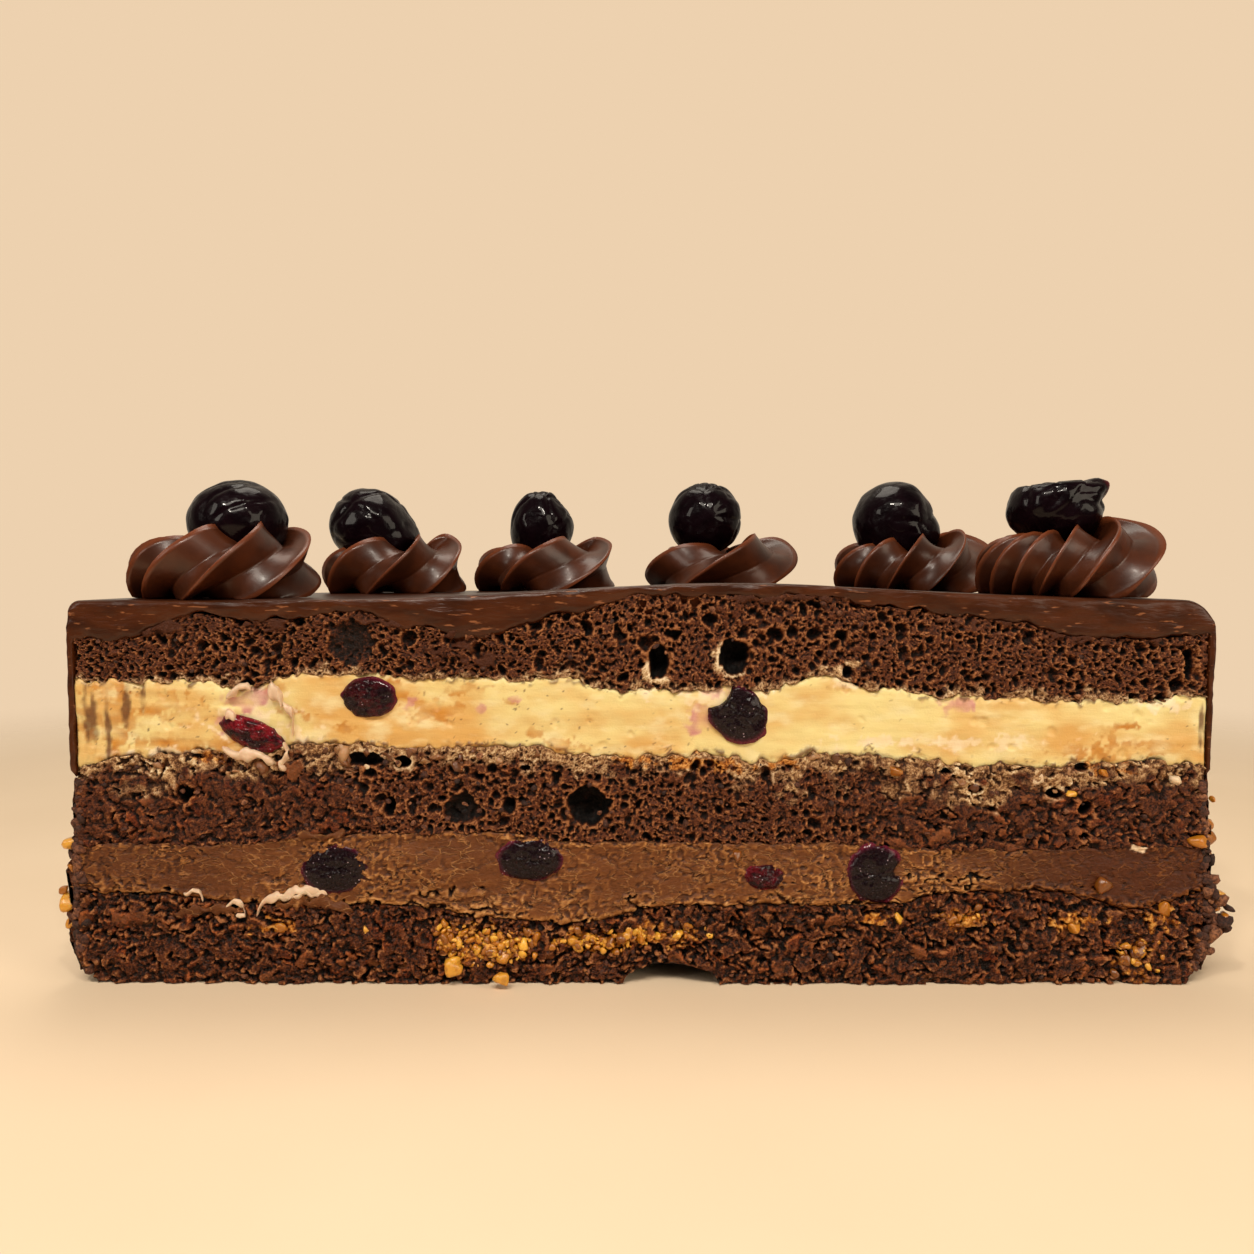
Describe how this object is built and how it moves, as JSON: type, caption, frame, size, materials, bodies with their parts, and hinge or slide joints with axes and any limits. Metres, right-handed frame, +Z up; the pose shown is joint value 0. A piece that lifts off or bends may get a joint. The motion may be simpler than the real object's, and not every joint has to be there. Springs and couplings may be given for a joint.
{
  "type": "sour cherry cake",
  "caption": "Half of a round layer cake, cut straight through: chocolate sponge, vanilla cream and mousse with sour cherries, under chocolate glaze with piped swirls.",
  "frame": {"origin": "bottom centre of the half cake's box, on the surface that it rests on", "axes": "+Z up; the cut face looks to -Y and the round side to +Y; +X to the right along the cut"},
  "size_m": [0.227, 0.1154, 0.103],
  "materials": {
    "sponge": "dark chocolate sponge, open moist crumb",
    "cream": "smooth vanilla cream, dragged by the knife",
    "mousse": "milk chocolate mousse, fine and slightly torn",
    "glaze": "poured dark chocolate glaze, soft gloss",
    "swirl": "piped chocolate cream, satin",
    "cherry": "black red sour cherry in syrup, wet gloss",
    "crust": "caramelised chopped nuts and cake crumbs"
  },
  "bodies": {
    "root": {"base_sponge": "sponge", "chocolate_mousse": "mousse", "middle_sponge": "sponge", "vanilla_cream": "cream", "top_sponge": "sponge", "chocolate_glaze": "glaze", "nut_crust": "crust", "cream_cherry_1": "cherry", "cream_cherry_2": "cherry", "cream_cherry_3": "cherry", "mousse_cherry_1": "cherry", "mousse_cherry_2": "cherry", "mousse_cherry_3": "cherry", "mousse_cherry_4": "cherry", "swirl_1": "swirl", "swirl_2": "swirl", "swirl_3": "swirl", "swirl_4": "swirl", "swirl_5": "swirl", "swirl_6": "swirl", "top_cherry_1": "cherry", "top_cherry_2": "cherry", "top_cherry_3": "cherry", "top_cherry_4": "cherry", "top_cherry_5": "cherry", "top_cherry_6": "cherry"}
  },
  "joints": []
}
